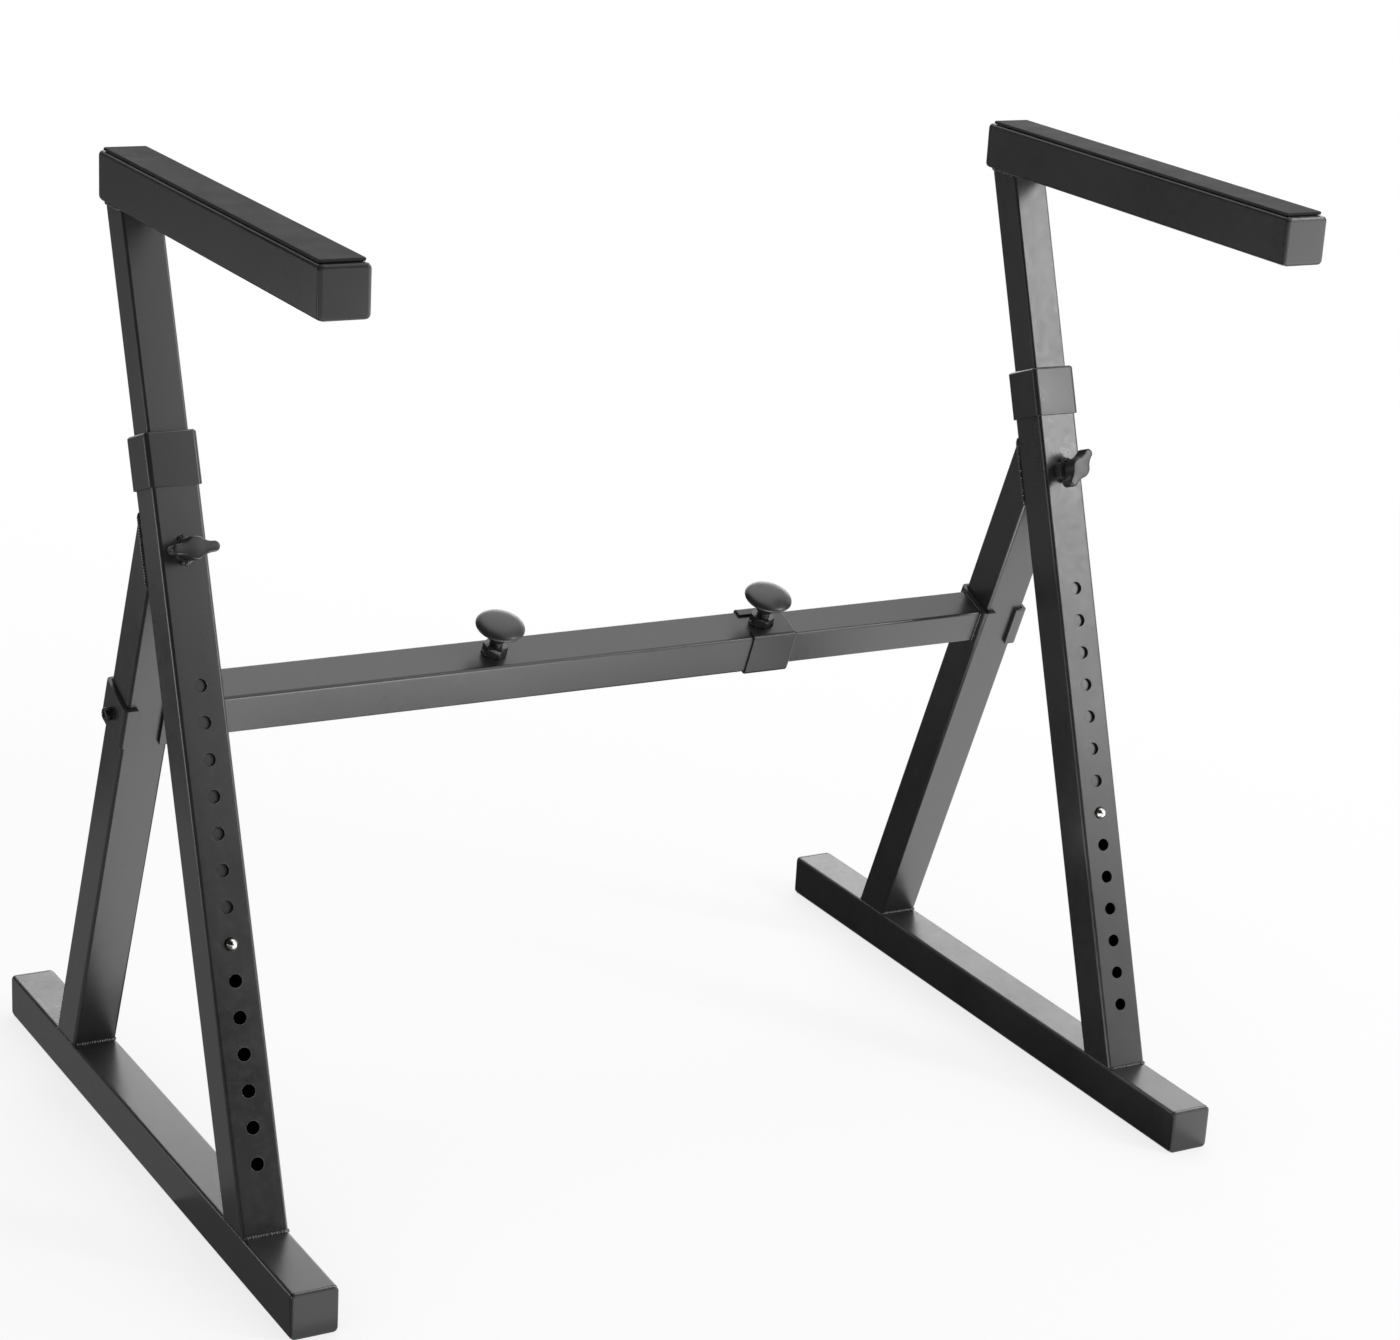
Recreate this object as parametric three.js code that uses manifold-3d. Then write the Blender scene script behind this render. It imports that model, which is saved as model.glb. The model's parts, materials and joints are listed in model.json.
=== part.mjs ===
// A Z-frame stand: two side frames of square steel tube, joined by a telescoping crossbar.
// Each side frame has a foot, a front leg that leans back, a rear brace that leans forward,
// and a post that slides in the leg and carries a horizontal arm.
// Millimetres. +X runs to the right, +Y to the back, +Z up. The floor is z = 0.

import * as THREE from 'three';
import { mergeVertices } from 'three/addons/utils/BufferGeometryUtils.js';
import Module from 'manifold-3d';

const wasm = await Module();
wasm.setup();

// ---------------------------------------------------------------- driving dimensions

// clearances
const SEAT_GAP = 0.3; // between pieces that are welded, pushed or pressed together
const SLIDE_GAP = 0.3; // between a sliding tube and what guides or clamps it

// outer square tube: feet, legs, braces, arms and the crossbar's left half
const TUBE = 35;
const TUBE_WALL = 1.5;
const TUBE_CORNER = 2.5;

// inner square tube: posts and the crossbar's right half
const SLIDER = 30;
const SLIDER_WALL = 1.5;
const SLIDER_CORNER = 2;

// side frames
const SPACING = 744; // between the two side frames' middle planes
const FOOT_LENGTH = 588.6; // over both caps
const LEG_SETBACK = 88.6; // from the foot's front end to the leg's front face, on the foot
const LEG_LEAN = 20; // degrees, towards the back
const LEG_LENGTH = 563.5; // along the front face
const BRACE_DROP = 50.2; // from the leg's top end down to where the brace's rear face meets it
const BRACE_LEAN = 21; // degrees, towards the front

// lock holes in the leg's front wall
const HOLE_DIAMETER = 10;
const HOLE_COUNT = 14;
const HOLE_PITCH = 26;
const FIRST_HOLE = 50.7; // from the foot, along the leg
const HOLE_IN_USE = 6; // counted from the lowest, which is 0

// post and arm
const POST_LENGTH = 537.5; // along its middle line, from its lower end to the arm
const POST_END = 18; // from the button's middle to the post's lower end
const ARM_LENGTH = 390; // over both caps
const ARM_TAIL = 7; // how far the arm runs on behind the post
const PAD_WIDTH = 32;
const PAD_THICKNESS = 2.4;
const PAD_END = 1.2; // from the pad's end to the cap
const PAD_CORNER = 2;
const PAD_EDGE = 0.6;

// plug caps
const CAP_FLANGE = 3.5;
const CAP_CORNER = 3.5;
const CAP_BORDER = 2.6; // the sloping border on the cap's face
const CAP_SLOPE = 0.8; // how far that border rises
const CAP_DEPTH = 22;
const CAP_WALL = 2;
const CAP_FIN = 1.2;
const CAP_FIN_PITCH = 10;
const CAP_FIN_COUNT = 2;
const CAP_FIN_REACH = 2; // how far a fin stands out of the plug

// moulded collars on the leg and on the crossbar
const COLLAR_WALL = 1.6;
const COLLAR_CORNER = 3.5;
const COLLAR_LIP = 3.2;
const LEG_COLLAR_LENGTH = 38.4;
const BAR_COLLAR_LENGTH = 39.6;
const COLLAR_EDGE = 1.4; // bevel round the lip

// clamping screws and their weld nuts
const SCREW_DIAMETER = 10;
const SCREW_CLEARANCE = 0.3; // all round
const SCREW_POINT = 1; // chamfer at the tip
const NUT_FLATS = 17;
const NUT_HEIGHT = 8;
const NUT_CHAMFER_TURN = 30; // degrees

// wing knob on the leg
const WING_DROP = 80; // from the leg's top end down to the screw
const WING_SPAN = 34.8;
const WING_HUB = 16.6; // diameter
const WING_TIP = 7.8; // width of each lobe and diameter of its round end
const WING_ROOT = 52; // degrees from the wing's middle line to where a lobe meets the hub
const WING_LIFT = 13.5; // from the leg to the wing's back
const WING_DEPTH = 12.5;
const WING_EDGE = 1.6;
const WING_NECK = 13; // diameter
const WING_NECK_LIFT = 10.5; // from the leg to the neck's end
const WING_BORE_DEPTH = 11;
const LEFT_WING_TURN = 0; // degrees
const RIGHT_WING_TURN = 52;

// snap button and its spring
const BUTTON_DIAMETER = 8.5;
const BUTTON_PROUD = 5;
const BUTTON_FLANGE = 13; // diameter
const BUTTON_FLANGE_THICKNESS = 1.5;
const SPRING_THICKNESS = 1;
const SPRING_WIDTH = 10;
const SPRING_LENGTH = 46; // from the button up to the bend
const SPRING_TAIL = 8; // below the button's middle
const SPRING_BEND = 5; // inner diameter of the bend

// crossbar
const BAR_UP = 323.2; // from the foot to its middle, along the brace
const BAR_OUTER_LENGTH = 518.9;
const BAR_INNER_LENGTH = 511;
const BAR_KNOB_INSET = 21.2; // from the outer tube's end to the right knob
const BAR_KNOB_SPACING = 236.4;

// mushroom knob on the crossbar, heights above the tube's face
const HEAD_DIAMETER = 38.5;
const HEAD_RIM = 26;
const HEAD_DOME = 6; // rise of the dome above the rim
const HEAD_UNDERSIDE = 5; // drop of the underside below the rim
const HEAD_NECK = 13.5; // diameter
const HEAD_NECK_LIFT = 13;
const HEAD_BORE_DEPTH = 11;

// saddles and clamp plates on the braces
const PLATE = 3;
const PLATE_HEIGHT = 35;
const PLATE_LIP = 7.5; // how far it reaches over the brace
const PLATE_BEND = 3.2; // outer radius of its bends
const BOLT_DIAMETER = 6;
const BOLT_LENGTH = 51;
const BOLT_HEAD = 10; // diameter
const BOLT_HEAD_HEIGHT = 6.5;
const BOLT_SOCKET = 5; // across flats
const BOLT_SOCKET_DEPTH = 3;
const BOLT_CLEARANCE = 0.3; // all round
const CLAMP_NUT_FLATS = 10;
const CLAMP_NUT_HEIGHT = 5;

// facets
const ROUND = 16; // sides of a pin or hole
const CORNER_STEPS = 2; // half the steps in a tube's round corner
const PLUG_STEPS = 1; // the same for the plugs' hidden corners
const HEAD_ROUND = 30;
const HEAD_STEPS = 5;

// ---------------------------------------------------------------- derived sizes

const legLean = THREE.MathUtils.degToRad(LEG_LEAN);
const braceLean = THREE.MathUtils.degToRad(BRACE_LEAN);
const half = TUBE / 2;
const tubeBore = TUBE - 2 * TUBE_WALL;
const sliderBore = SLIDER - 2 * SLIDER_WALL;
const sliderInset = (TUBE - SLIDER) / 2; // from the outer tube's face to the inner tube's
const screwTip = -sliderInset + SLIDE_GAP; // height above the outer tube's face
const nutCorner = NUT_FLATS / Math.sqrt(3);
const buttonUp = FIRST_HOLE + HOLE_IN_USE * HOLE_PITCH;
const postStart = buttonUp - POST_END;
const wingUp = LEG_LENGTH - WING_DROP;
const jointUp = LEG_LENGTH - BRACE_DROP; // where the brace's rear face meets the leg, along the leg
const jointY = jointUp * Math.sin(legLean) + TUBE * Math.cos(legLean);
const jointZ = jointUp * Math.cos(legLean) - TUBE * Math.sin(legLean);
const braceSpan = jointY + jointZ * Math.tan(braceLean) - TUBE / Math.cos(braceLean); // on the foot
const footFront = -LEG_SETBACK;
const footRear = footFront + FOOT_LENGTH;
const armUnderside = TUBE + (postStart + POST_LENGTH) * Math.cos(legLean) - half * Math.sin(legLean);
const postRear = (armUnderside - TUBE) * Math.tan(legLean) + (TUBE - sliderInset) / Math.cos(legLean);
const armRear = postRear + ARM_TAIL;
const armFront = armRear - ARM_LENGTH;
const depthMiddle = (Math.min(armFront, footFront) + Math.max(armRear, footRear)) / 2;
const barLeftEnd = -SPACING / 2 + half + PLATE + 2 * SEAT_GAP;
const barRightEnd = -barLeftEnd;
const outerEnd = barLeftEnd + BAR_OUTER_LENGTH;
const rightKnobX = outerEnd - BAR_KNOB_INSET;
const leftKnobX = rightKnobX - BAR_KNOB_SPACING;

// ---------------------------------------------------------------- materials

function steel(color) {
  return new THREE.MeshStandardMaterial({ color, roughness: 0.42, metalness: 0.3 });
}
function moulded(color) {
  return new THREE.MeshStandardMaterial({ color, roughness: 0.6, metalness: 0 });
}
const coated = steel(0x2c2c2e);
const plastic = moulded(0x1d1d1f);
const rubber = new THREE.MeshStandardMaterial({ color: 0x151515, roughness: 0.85, metalness: 0 });
const zinc = new THREE.MeshStandardMaterial({ color: 0xb9babb, roughness: 0.3, metalness: 1 });
const nickel = new THREE.MeshStandardMaterial({ color: 0xd8d5cc, roughness: 0.15, metalness: 1 });
const blackened = new THREE.MeshStandardMaterial({ color: 0x1a1a1b, roughness: 0.4, metalness: 0.8 });

// ---------------------------------------------------------------- solids

function toSolid(geometry) {
  const bare = geometry.clone();
  bare.deleteAttribute('normal');
  bare.deleteAttribute('uv');
  const merged = mergeVertices(bare);
  return new wasm.Manifold(new wasm.Mesh({
    numProp: 3,
    vertProperties: Float32Array.from(merged.attributes.position.array),
    triVerts: Uint32Array.from(merged.index.array),
  }));
}

function toGeometry(solid) {
  const { vertProperties, triVerts } = solid.getMesh();
  const geometry = new THREE.BufferGeometry();
  geometry.setAttribute('position', new THREE.BufferAttribute(vertProperties, 3));
  geometry.setIndex(new THREE.BufferAttribute(triVerts, 1));
  geometry.computeVertexNormals();
  return geometry;
}

// the body less each of the cuts
function cut(body, ...cuts) {
  return cuts.reduce((left, tool) => left.subtract(tool), body);
}

function roundedSquare(size, corner, Type = THREE.Shape) {
  const shape = new Type();
  const inner = size / 2 - corner;
  shape.absarc(inner, inner, corner, 0, Math.PI / 2);
  shape.absarc(-inner, inner, corner, Math.PI / 2, Math.PI);
  shape.absarc(-inner, -inner, corner, Math.PI, 1.5 * Math.PI);
  shape.absarc(inner, -inner, corner, 1.5 * Math.PI, 2 * Math.PI);
  return shape;
}

function hexagon(flats) {
  const shape = new THREE.Shape();
  const corner = flats / Math.sqrt(3);
  for (let i = 0; i < 6; i++) {
    const turn = (i + 0.5) * Math.PI / 3;
    shape[i ? 'lineTo' : 'moveTo'](corner * Math.cos(turn), corner * Math.sin(turn));
  }
  return shape;
}

// a straight prism from z = 0 up
function prism(shape, length, steps = CORNER_STEPS) {
  return new THREE.ExtrudeGeometry(shape, { depth: length, bevelEnabled: false, curveSegments: steps });
}

function squareTube(size, wall, corner, length) {
  const shape = roundedSquare(size, corner);
  shape.holes.push(roundedSquare(size - 2 * wall, Math.max(corner - wall, 0.3), THREE.Path));
  return prism(shape, length);
}

// a round pin along +Z from z = low to z = high
function pin(diameter, low, high, sides = ROUND) {
  const geometry = new THREE.CylinderGeometry(diameter / 2, diameter / 2, high - low, sides);
  return geometry.rotateX(Math.PI / 2).translate(0, 0, (low + high) / 2);
}

// a body of revolution about +Z, from [radius, height] pairs
function revolve(points, sides = ROUND) {
  const profile = points.map(([radius, height]) => new THREE.Vector2(radius, height));
  return new THREE.LatheGeometry(profile, sides).rotateX(Math.PI / 2);
}

// what lies behind the plane, on the side that its normal points away from
function behind(point, normal) {
  const reach = 4 * (POST_LENGTH + FOOT_LENGTH);
  const block = new THREE.BoxGeometry(reach, reach, reach).translate(0, 0, -reach / 2);
  block.applyQuaternion(new THREE.Quaternion().setFromUnitVectors(new THREE.Vector3(0, 0, 1), normal));
  return toSolid(block.translate(point.x, point.y, point.z));
}

// ---------------------------------------------------------------- frames

const stand = new THREE.Group();
stand.position.y = -depthMiddle;

function frame(parent, x, y, z, lean) {
  const group = new THREE.Group();
  group.position.set(x, y, z);
  group.rotation.x = lean;
  parent.add(group);
  return group;
}

function add(parent, name, shape, material) {
  const geometry = shape.isBufferGeometry ? shape : toGeometry(shape);
  const mesh = new THREE.Mesh(geometry, material);
  mesh.name = name;
  parent.add(mesh);
  return mesh;
}

// Turns +Z to the front, out of a tube's front face. The group's own +Z is then height above the face.
function onFrontFace(parent, up) {
  const group = frame(parent, 0, 0, up, Math.PI / 2);
  return group;
}

// ---------------------------------------------------------------- fasteners and knobs

function screwHole(low, high) {
  return toSolid(pin(SCREW_DIAMETER + 2 * SCREW_CLEARANCE, low, high));
}

// a hex nut with a chamfered top, standing on z = SEAT_GAP
function weldNut() {
  const top = SEAT_GAP + NUT_HEIGHT;
  const drop = (nutCorner - NUT_FLATS / 2) * Math.tan(THREE.MathUtils.degToRad(NUT_CHAMFER_TURN));
  const body = toSolid(prism(hexagon(NUT_FLATS), NUT_HEIGHT).translate(0, 0, SEAT_GAP));
  const turned = toSolid(revolve([
    [0, 0],
    [nutCorner + SEAT_GAP, 0],
    [nutCorner + SEAT_GAP, top - drop - SEAT_GAP],
    [NUT_FLATS / 2, top],
    [0, top],
  ]));
  return body.intersect(turned).subtract(screwHole(-1, top + 1));
}

function clampScrew(top) {
  const radius = SCREW_DIAMETER / 2;
  return revolve([
    [0, screwTip],
    [radius - SCREW_POINT, screwTip],
    [radius, screwTip + SCREW_POINT],
    [radius, top],
    [0, top],
  ]);
}

// two straight lobes with round ends, each filleted into the hub
function wingOutline() {
  const hub = WING_HUB / 2;
  const tip = WING_TIP / 2;
  const reach = WING_SPAN / 2 - tip;
  const root = THREE.MathUtils.degToRad(WING_ROOT);
  const rootX = hub * Math.cos(root);
  const rootY = hub * Math.sin(root);
  const bendX = (hub - tip * Math.sin(root)) / Math.cos(root); // where the hub's tangent meets the lobe's side
  const shape = new THREE.Shape();
  shape.absarc(reach, 0, tip, -Math.PI / 2, Math.PI / 2);
  shape.quadraticCurveTo(bendX, tip, rootX, rootY);
  shape.absarc(0, 0, hub, root, Math.PI - root);
  shape.quadraticCurveTo(-bendX, tip, -reach, tip);
  shape.absarc(-reach, 0, tip, Math.PI / 2, 1.5 * Math.PI);
  shape.quadraticCurveTo(-bendX, -tip, -rootX, -rootY);
  shape.absarc(0, 0, hub, Math.PI + root, 2 * Math.PI - root);
  shape.quadraticCurveTo(bendX, -tip, reach, -tip);
  return shape;
}

function wingKnob() {
  const wing = new THREE.ExtrudeGeometry(wingOutline(), {
    depth: WING_DEPTH - 2 * WING_EDGE,
    bevelThickness: WING_EDGE,
    bevelSize: WING_EDGE,
    bevelOffset: -WING_EDGE,
    bevelSegments: 2,
    curveSegments: 4,
  }).translate(0, 0, WING_LIFT + WING_EDGE);
  const neck = revolve([
    [0, WING_NECK_LIFT],
    [WING_NECK / 2, WING_NECK_LIFT],
    [WING_HUB / 2 - WING_EDGE, WING_LIFT + WING_EDGE],
    [0, WING_LIFT + WING_EDGE],
  ]);
  const bore = screwHole(WING_NECK_LIFT - 1, WING_NECK_LIFT + WING_BORE_DEPTH + SEAT_GAP);
  return toSolid(wing).add(toSolid(neck)).subtract(bore);
}

// a lens-shaped head on a neck, with a blind bore for the screw
function mushroomKnob() {
  const rim = HEAD_DIAMETER / 2;
  const bore = SCREW_DIAMETER / 2 + SCREW_CLEARANCE;
  const boreTop = HEAD_NECK_LIFT + HEAD_BORE_DEPTH + SEAT_GAP;
  const profile = [[0, boreTop], [bore, boreTop], [bore, HEAD_NECK_LIFT], [HEAD_NECK / 2, HEAD_NECK_LIFT]];
  const neckTurn = Math.acos(HEAD_NECK / HEAD_DIAMETER);
  for (let i = 0; i <= HEAD_STEPS; i++) {
    const turn = -neckTurn * (1 - i / HEAD_STEPS);
    profile.push([rim * Math.cos(turn), HEAD_RIM + HEAD_UNDERSIDE * Math.sin(turn)]);
  }
  for (let i = 1; i < HEAD_STEPS; i++) {
    const turn = (Math.PI / 2) * (i / HEAD_STEPS);
    profile.push([rim * Math.cos(turn), HEAD_RIM + HEAD_DOME * Math.sin(turn)]);
  }
  profile.push([0, HEAD_RIM + HEAD_DOME]);
  return revolve(profile, HEAD_ROUND);
}

// ---------------------------------------------------------------- moulded caps and collars

// a plug cap: +Z points out of the tube, and z = 0 is the tube's end
function plugCap() {
  const edge = CAP_FLANGE - CAP_SLOPE;
  const flange = new THREE.ExtrudeGeometry(roundedSquare(TUBE, CAP_CORNER), {
    depth: edge,
    bevelThickness: CAP_SLOPE,
    bevelSize: CAP_BORDER,
    bevelOffset: -CAP_BORDER,
    bevelSegments: 1,
    curveSegments: CORNER_STEPS,
  });
  const face = cut(toSolid(flange), behind(new THREE.Vector3(0, 0, SEAT_GAP), new THREE.Vector3(0, 0, 1)));
  const fin = tubeBore - 2 * SEAT_GAP;
  const core = fin - 2 * CAP_FIN_REACH;
  const finCorner = Math.max(TUBE_CORNER - TUBE_WALL, 0.3);
  const plugPart = (size, length, start) => {
    const body = prism(roundedSquare(size, finCorner), length, PLUG_STEPS);
    return toSolid(body.translate(0, 0, start));
  };
  let plug = plugPart(core, CAP_DEPTH + edge, -CAP_DEPTH);
  for (let i = 0; i < CAP_FIN_COUNT; i++) {
    plug = plug.add(plugPart(fin, CAP_FIN, -CAP_DEPTH + CAP_FIN + i * CAP_FIN_PITCH));
  }
  return face.add(plug).subtract(plugPart(core - 2 * CAP_WALL, CAP_DEPTH, -CAP_DEPTH - 1));
}

// a sleeve from z = -length to z = 0 with a lip at the top that the inner tube slides through
function collar(length) {
  const outer = TUBE + 2 * (SEAT_GAP + COLLAR_WALL);
  const body = new THREE.ExtrudeGeometry(roundedSquare(outer, COLLAR_CORNER), {
    depth: length - COLLAR_EDGE,
    bevelThickness: COLLAR_EDGE,
    bevelSize: COLLAR_EDGE,
    bevelOffset: -COLLAR_EDGE,
    bevelSegments: 1,
    curveSegments: CORNER_STEPS,
  }).translate(0, 0, -length);
  const socket = prism(roundedSquare(TUBE + 2 * SEAT_GAP, TUBE_CORNER + SEAT_GAP), length);
  const guide = prism(roundedSquare(SLIDER + 2 * SLIDE_GAP, SLIDER_CORNER + SLIDE_GAP), length);
  return cut(
    toSolid(body),
    toSolid(socket.translate(0, 0, -length - COLLAR_LIP)),
    toSolid(guide.translate(0, 0, -length / 2)),
    behind(new THREE.Vector3(0, 0, -length), new THREE.Vector3(0, 0, 1)),
  );
}

// ---------------------------------------------------------------- side frame pieces

function footTube(side) {
  const length = FOOT_LENGTH - 2 * CAP_FLANGE;
  const tube = squareTube(TUBE, TUBE_WALL, TUBE_CORNER, length).rotateX(-Math.PI / 2);
  return tube.translate(0, footFront + CAP_FLANGE, half);
}

function endCaps(parent, name, front, rear, height) {
  const facing = frame(parent, 0, front, height, Math.PI / 2);
  add(facing, `${name}_cap_front`, plugCap(), plastic);
  const away = frame(parent, 0, rear, height, -Math.PI / 2);
  add(away, `${name}_cap_rear`, plugCap(), plastic);
}

// The leg's own frame: z runs up the leg, y back from its front face.
function frontLeg() {
  const start = -TUBE;
  const tube = squareTube(TUBE, TUBE_WALL, TUBE_CORNER, LEG_LENGTH - start).translate(0, half, start);
  let leg = toSolid(tube);
  const across = (up, diameter) => {
    const drill = pin(diameter, -2 * TUBE_WALL, 2 * TUBE_WALL).rotateX(Math.PI / 2);
    return toSolid(drill.translate(0, 0, up));
  };
  for (let i = 0; i < HOLE_COUNT; i++) {
    leg = leg.subtract(across(FIRST_HOLE + i * HOLE_PITCH, HOLE_DIAMETER));
  }
  leg = leg.subtract(across(wingUp, SCREW_DIAMETER + 2 * SCREW_CLEARANCE));
  const floor = new THREE.Vector3(0, -Math.sin(legLean), Math.cos(legLean));
  return cut(leg, behind(floor.clone().multiplyScalar(SEAT_GAP), floor));
}

// The brace's own frame: z runs up the brace, y back from its front face.
function rearBrace() {
  const length = braceSpan / Math.tan((legLean + braceLean) / 2);
  const tube = squareTube(TUBE, TUBE_WALL, TUBE_CORNER, length + TUBE).translate(0, half, -TUBE);
  const floor = new THREE.Vector3(0, Math.sin(braceLean), Math.cos(braceLean));
  const legRear = new THREE.Vector3(0, Math.cos(legLean + braceLean), -Math.sin(legLean + braceLean));
  const legFoot = new THREE.Vector3(0, -braceSpan * Math.cos(braceLean), braceSpan * Math.sin(braceLean));
  const boltHole = pin(BOLT_DIAMETER + 2 * BOLT_CLEARANCE, -TUBE, TUBE).rotateY(Math.PI / 2);
  return cut(
    toSolid(tube),
    behind(floor.clone().multiplyScalar(SEAT_GAP), floor),
    behind(legFoot.addScaledVector(legRear, TUBE + SEAT_GAP), legRear),
    toSolid(boltHole.translate(0, half, BAR_UP)),
  );
}

// The post, in the leg's frame: its top is cut level, under the arm.
function post() {
  const tube = squareTube(SLIDER, SLIDER_WALL, SLIDER_CORNER, POST_LENGTH + TUBE).translate(0, half, postStart);
  const level = new THREE.Vector3(0, Math.sin(legLean), -Math.cos(legLean));
  const top = new THREE.Vector3(0, half, postStart + POST_LENGTH).addScaledVector(level, SEAT_GAP);
  const buttonHole = pin(BUTTON_DIAMETER + 2 * SLIDE_GAP, -half, half).rotateX(Math.PI / 2);
  return cut(toSolid(tube), behind(top, level), toSolid(buttonHole.translate(0, 0, buttonUp)));
}

// heights are above the leg's front face
function snapButton() {
  const radius = BUTTON_DIAMETER / 2;
  const seat = -sliderInset - SLIDER_WALL - SEAT_GAP;
  const back = seat - BUTTON_FLANGE_THICKNESS;
  const profile = [[0, back], [BUTTON_FLANGE / 2, back], [BUTTON_FLANGE / 2, seat], [radius, seat]];
  const steps = 6;
  for (let i = 0; i < steps; i++) {
    const turn = (Math.PI / 2) * (i / steps);
    profile.push([radius * Math.cos(turn), BUTTON_PROUD - radius + radius * Math.sin(turn)]);
  }
  profile.push([0, BUTTON_PROUD]);
  return revolve(profile);
}

// A strip bent to a V: one leg behind the button, the other on the post's rear wall.
function buttonSpring() {
  const front = sliderInset + SLIDER_WALL + SEAT_GAP + BUTTON_FLANGE_THICKNESS + SEAT_GAP;
  const rear = TUBE - sliderInset - SLIDER_WALL - SEAT_GAP;
  const radius = SPRING_BEND / 2 + SPRING_THICKNESS;
  const top = buttonUp + SPRING_LENGTH;
  const bottom = buttonUp - SPRING_TAIL;
  const bendY = front + radius;
  const shape = new THREE.Shape();
  shape.moveTo(front, bottom);
  shape.lineTo(front + SPRING_THICKNESS, bottom);
  shape.lineTo(front + SPRING_THICKNESS, top - radius);
  shape.absarc(bendY, top - radius, SPRING_BEND / 2, Math.PI, 0, true);
  shape.lineTo(rear - SPRING_THICKNESS, bottom);
  shape.lineTo(rear, bottom);
  shape.lineTo(bendY + radius, top - radius);
  shape.absarc(bendY, top - radius, radius, 0, Math.PI);
  const strip = new THREE.ExtrudeGeometry(shape, {
    depth: SPRING_WIDTH,
    bevelEnabled: false,
    curveSegments: 4,
  });
  return strip.rotateY(Math.PI / 2).rotateX(Math.PI / 2).translate(-SPRING_WIDTH / 2, 0, 0);
}

function arm() {
  const tube = squareTube(TUBE, TUBE_WALL, TUBE_CORNER, ARM_LENGTH - 2 * CAP_FLANGE).rotateX(-Math.PI / 2);
  return tube.translate(0, armFront + CAP_FLANGE, armUnderside + half);
}

function armPad() {
  const length = ARM_LENGTH - 2 * (CAP_FLANGE + PAD_END);
  const shape = new THREE.Shape();
  const x = PAD_WIDTH / 2 - PAD_CORNER;
  const y = length / 2 - PAD_CORNER;
  shape.absarc(x, y, PAD_CORNER, 0, Math.PI / 2);
  shape.absarc(-x, y, PAD_CORNER, Math.PI / 2, Math.PI);
  shape.absarc(-x, -y, PAD_CORNER, Math.PI, 1.5 * Math.PI);
  shape.absarc(x, -y, PAD_CORNER, 1.5 * Math.PI, 2 * Math.PI);
  const pad = new THREE.ExtrudeGeometry(shape, {
    depth: PAD_THICKNESS - 2 * PAD_EDGE,
    bevelThickness: PAD_EDGE,
    bevelSize: PAD_EDGE,
    bevelOffset: -PAD_EDGE,
    bevelSegments: 1,
    curveSegments: CORNER_STEPS,
  });
  const seat = armUnderside + TUBE + SEAT_GAP;
  return pad.translate(0, (armFront + armRear) / 2, seat + PAD_EDGE);
}

// ---------------------------------------------------------------- clamps on the braces

// A U-shaped plate round the brace, open towards -X. Its frame sits in the brace's middle.
function bracePlate() {
  const web = half + SEAT_GAP + PLATE;
  const inner = web - PLATE;
  const lip = half - PLATE_LIP;
  const bend = PLATE_BEND - PLATE;
  const shape = new THREE.Shape();
  shape.moveTo(lip, -inner);
  shape.lineTo(lip, -web);
  shape.absarc(web - PLATE_BEND, -web + PLATE_BEND, PLATE_BEND, -Math.PI / 2, 0);
  shape.absarc(web - PLATE_BEND, web - PLATE_BEND, PLATE_BEND, 0, Math.PI / 2);
  shape.lineTo(lip, web);
  shape.lineTo(lip, inner);
  shape.absarc(inner - bend, inner - bend, bend, Math.PI / 2, 0, true);
  shape.absarc(inner - bend, -inner + bend, bend, 0, -Math.PI / 2, true);
  const plate = toSolid(prism(shape, PLATE_HEIGHT, 3).translate(0, 0, -PLATE_HEIGHT / 2));
  const hole = pin(BOLT_DIAMETER + 2 * BOLT_CLEARANCE, 0, 2 * TUBE).rotateY(Math.PI / 2);
  return plate.subtract(toSolid(hole));
}

// a socket-head bolt along X, its head on the outboard plate
function clampBolt() {
  const seat = half + PLATE + 2 * SEAT_GAP;
  const top = seat + BOLT_HEAD_HEIGHT;
  const chamfer = 0.6;
  const bolt = revolve([
    [0, seat - BOLT_LENGTH],
    [BOLT_DIAMETER / 2, seat - BOLT_LENGTH],
    [BOLT_DIAMETER / 2, seat],
    [BOLT_HEAD / 2, seat],
    [BOLT_HEAD / 2, top - chamfer],
    [BOLT_HEAD / 2 - chamfer, top],
    [0, top],
  ]);
  const socket = prism(hexagon(BOLT_SOCKET), BOLT_SOCKET_DEPTH + 1).translate(0, 0, top - BOLT_SOCKET_DEPTH);
  return toGeometry(toSolid(bolt).subtract(toSolid(socket))).rotateY(Math.PI / 2);
}

// the nut in the crossbar's end that the bolt pulls on
function clampNut() {
  const nut = toSolid(prism(hexagon(CLAMP_NUT_FLATS), CLAMP_NUT_HEIGHT));
  const bore = pin(BOLT_DIAMETER + 2 * BOLT_CLEARANCE, -1, CLAMP_NUT_HEIGHT + 1);
  const seat = -(half + PLATE + 2 * SEAT_GAP + CLAMP_NUT_HEIGHT);
  return toGeometry(nut.subtract(toSolid(bore))).translate(0, 0, seat).rotateY(Math.PI / 2);
}

// ---------------------------------------------------------------- assembly

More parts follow.
